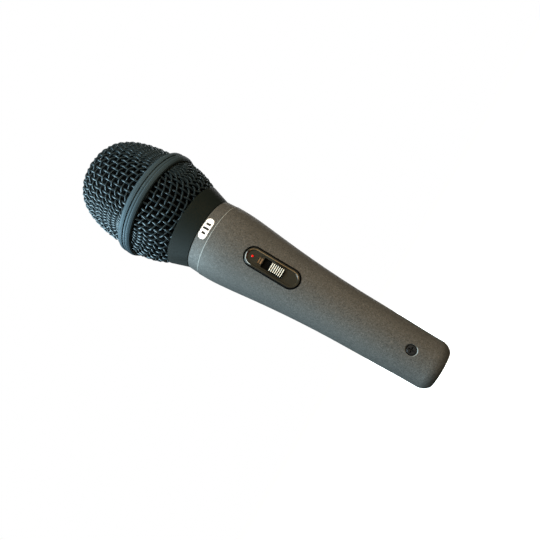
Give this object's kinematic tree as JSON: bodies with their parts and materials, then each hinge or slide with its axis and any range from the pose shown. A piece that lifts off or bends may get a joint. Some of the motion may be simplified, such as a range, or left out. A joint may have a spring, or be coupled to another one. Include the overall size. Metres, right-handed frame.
{
  "type": "dynamic microphone",
  "caption": "Handheld dynamic vocal microphone: tapered metal handle with slide switch, woven-wire ball grille that unscrews, sprung diaphragm capsule and recessed balanced-line socket.",
  "frame": {"origin": "centre of the tail's end face, on the axis, which is the surface that the microphone stands on", "axes": "+Z runs along the axis from the tail to the head, -Y faces the switch side, +X is to the right of the switch seen from its side with the head up"},
  "size_m": [0.0508, 0.0508, 0.1764],
  "materials": {
    "handle_paint": "fine-textured dark grey metallic enamel",
    "collar_paint": "satin black-green enamel",
    "grille_wire": "satin black wire",
    "band_paint": "satin dark grey enamel",
    "foam": "open-cell black foam",
    "insert_plastic": "moulded black",
    "contact_metal": "silver-plated",
    "screw_black": "black oxide",
    "core_steel": "laminated core",
    "winding_tape": "yellow winding tape",
    "plate_enamel": "gloss black-brown enamel",
    "dot_red": "bright red enamel",
    "steel": "plain steel",
    "phenolic": "brown phenolic board",
    "slide_black": "moulded black, pale rib tops",
    "spring_brass": "spring brass",
    "rubber_mount": "soft black rubber",
    "capsule_plastic": "moulded charcoal",
    "felt": "grey felt",
    "magnet_metal": "sintered magnet",
    "copper": "enamelled copper",
    "film_clear": "thin polyester film",
    "screen_cloth": "woven black screen",
    "badge_white": "white printed label",
    "lead_red": "red insulation",
    "lead_black": "black insulation",
    "lead_yellow": "yellow insulation",
    "lead_white": "white insulation",
    "lead_blue": "blue insulation"
  },
  "bodies": {
    "handle": {"handle_shell": "handle_paint", "badge": "badge_white", "insert_screw": "screw_black", "xlr_insert": "insert_plastic", "xlr_pin_1": "contact_metal", "xlr_pin_2": "contact_metal", "xlr_pin_3": "contact_metal", "ground_clip": "spring_brass", "transformer_core": "core_steel", "transformer_coil": "winding_tape", "transformer_pads": "foam", "switch_plate": "plate_enamel", "index_dot": "dot_red", "switch_frame": "steel", "switch_base": "phenolic", "switch_contacts": "spring_brass", "capsule_mount": "rubber_mount", "capsule_housing": "capsule_plastic", "rear_port_felt": "felt", "magnet_yoke": "steel", "magnet": "magnet_metal", "pole_piece": "steel", "clamp_ring": "capsule_plastic", "capsule_front_grid": "capsule_plastic", "capsule_screen": "screen_cloth", "terminal_board": "phenolic", "capsule_terminals": "contact_metal", "capsule_lead_red": "lead_red", "capsule_lead_black": "lead_black", "switch_lead_yellow": "lead_yellow", "switch_lead_white": "lead_white", "output_lead_red": "lead_red", "output_lead_black": "lead_black", "output_lead_blue": "lead_blue"},
    "switch_slider": {"thumb_slide": "slide_black", "switch_actuator": "slide_black", "switch_wiper": "spring_brass"},
    "diaphragm": {"diaphragm_dome": "film_clear", "coil_former": "film_clear", "voice_coil": "copper", "diaphragm_surround": "film_clear"},
    "foam_liner": {"front_foam": "foam", "rear_foam": "foam"},
    "grille_head": {"grille_collar": "collar_paint", "grille_rear_mesh": "grille_wire", "grille_band": "band_paint", "grille_front_mesh": "grille_wire"}
  },
  "joints": [
    {"name": "mute_slide", "type": "slide", "parent": "handle", "child": "switch_slider", "axis": [0, -0.1063, 0.9943], "range_m": [0, 0.0035]},
    {"name": "diaphragm_travel", "type": "slide", "parent": "handle", "child": "diaphragm", "axis": [0, 0, 1], "range_m": [-0.0003, 0.0003], "stiffness_N_per_m": 40, "deforming": ["diaphragm_surround"]},
    {"name": "grille_lift", "type": "slide", "parent": "handle", "child": "foam_liner", "axis": [0, 0, 1], "range_m": [0, 0.005]},
    {"name": "grille_turn", "type": "hinge", "parent": "foam_liner", "child": "grille_head", "pos_m": [0, 0, 0.1147], "axis": [0, 0, 1], "range_deg": [0, 1800]}
  ],
  "couplings": [
    {"joint": "grille_lift", "follows": "grille_turn", "m_per_rad": 0.00015915}
  ]
}
